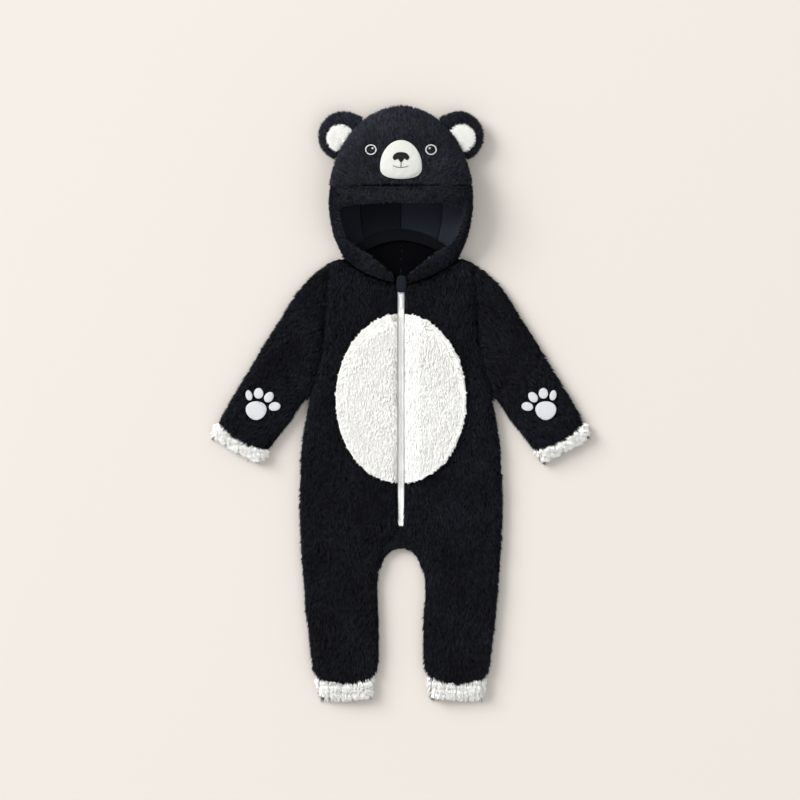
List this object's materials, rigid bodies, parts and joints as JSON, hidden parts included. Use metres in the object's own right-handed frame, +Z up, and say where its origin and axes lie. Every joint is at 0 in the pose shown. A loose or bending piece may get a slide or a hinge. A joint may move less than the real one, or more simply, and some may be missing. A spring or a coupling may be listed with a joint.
{
  "type": "bear romper",
  "caption": "Hooded plush bear romper for a toddler, laid flat on its back, with a front zip, an oval belly patch, round ears and plush cuffs.",
  "frame": {"origin": "on the surface under the middle of the garment's outline", "axes": "+Y towards the hood, +Z up from the surface, +X to the right seen from above"},
  "size_m": [0.5618, 0.8853, 0.065],
  "materials": {
    "black_plush": "matte",
    "white_plush": "matte",
    "white_felt": "matte",
    "dark_lining": "matte",
    "black_embroidery": "satin",
    "white_embroidery": "satin",
    "zip_tape": "matte",
    "zip_nylon": "satin"
  },
  "bodies": {
    "garment": {"front_left": "black_plush", "front_right": "black_plush", "back_left": "black_plush", "back_right": "black_plush", "crotch_gusset": "black_plush", "sleeve_left": "black_plush", "sleeve_right": "black_plush", "hood_back": "black_plush", "hood_face": "black_plush", "hood_brim": "black_plush", "ear_left": "black_plush", "ear_right": "black_plush", "belly_left": "white_plush", "belly_right": "white_plush", "sleeve_cuff_left": "white_plush", "sleeve_cuff_right": "white_plush", "leg_cuff_left": "white_plush", "leg_cuff_right": "white_plush", "ear_inner_left": "white_plush", "ear_inner_right": "white_plush", "muzzle": "white_felt", "hood_lining_left": "dark_lining", "hood_lining_back_left": "dark_lining", "hood_lining_back_right": "dark_lining", "hood_lining_right": "dark_lining", "neck_tape": "dark_lining", "chin_guard": "dark_lining", "nose": "black_embroidery", "eye_left": "black_embroidery", "eye_right": "black_embroidery", "paw_pad_left": "white_embroidery", "paw_toe_1_left": "white_embroidery", "paw_toe_2_left": "white_embroidery", "paw_toe_3_left": "white_embroidery", "paw_toe_4_left": "white_embroidery", "paw_pad_right": "white_embroidery", "paw_toe_1_right": "white_embroidery", "paw_toe_2_right": "white_embroidery", "paw_toe_3_right": "white_embroidery", "paw_toe_4_right": "white_embroidery", "zip_tape_left": "zip_tape", "zip_tape_right": "zip_tape", "zip_chain": "zip_nylon", "zip_slider": "zip_nylon"},
    "pull_tab": {"zip_pull_tab": "zip_nylon"}
  },
  "joints": [
    {"name": "pull_tab_hinge", "type": "hinge", "parent": "garment", "child": "pull_tab", "pos_m": [0, 0.16, 0.01455], "axis": [-1, 0, 0], "range_deg": [0, 120]}
  ]
}
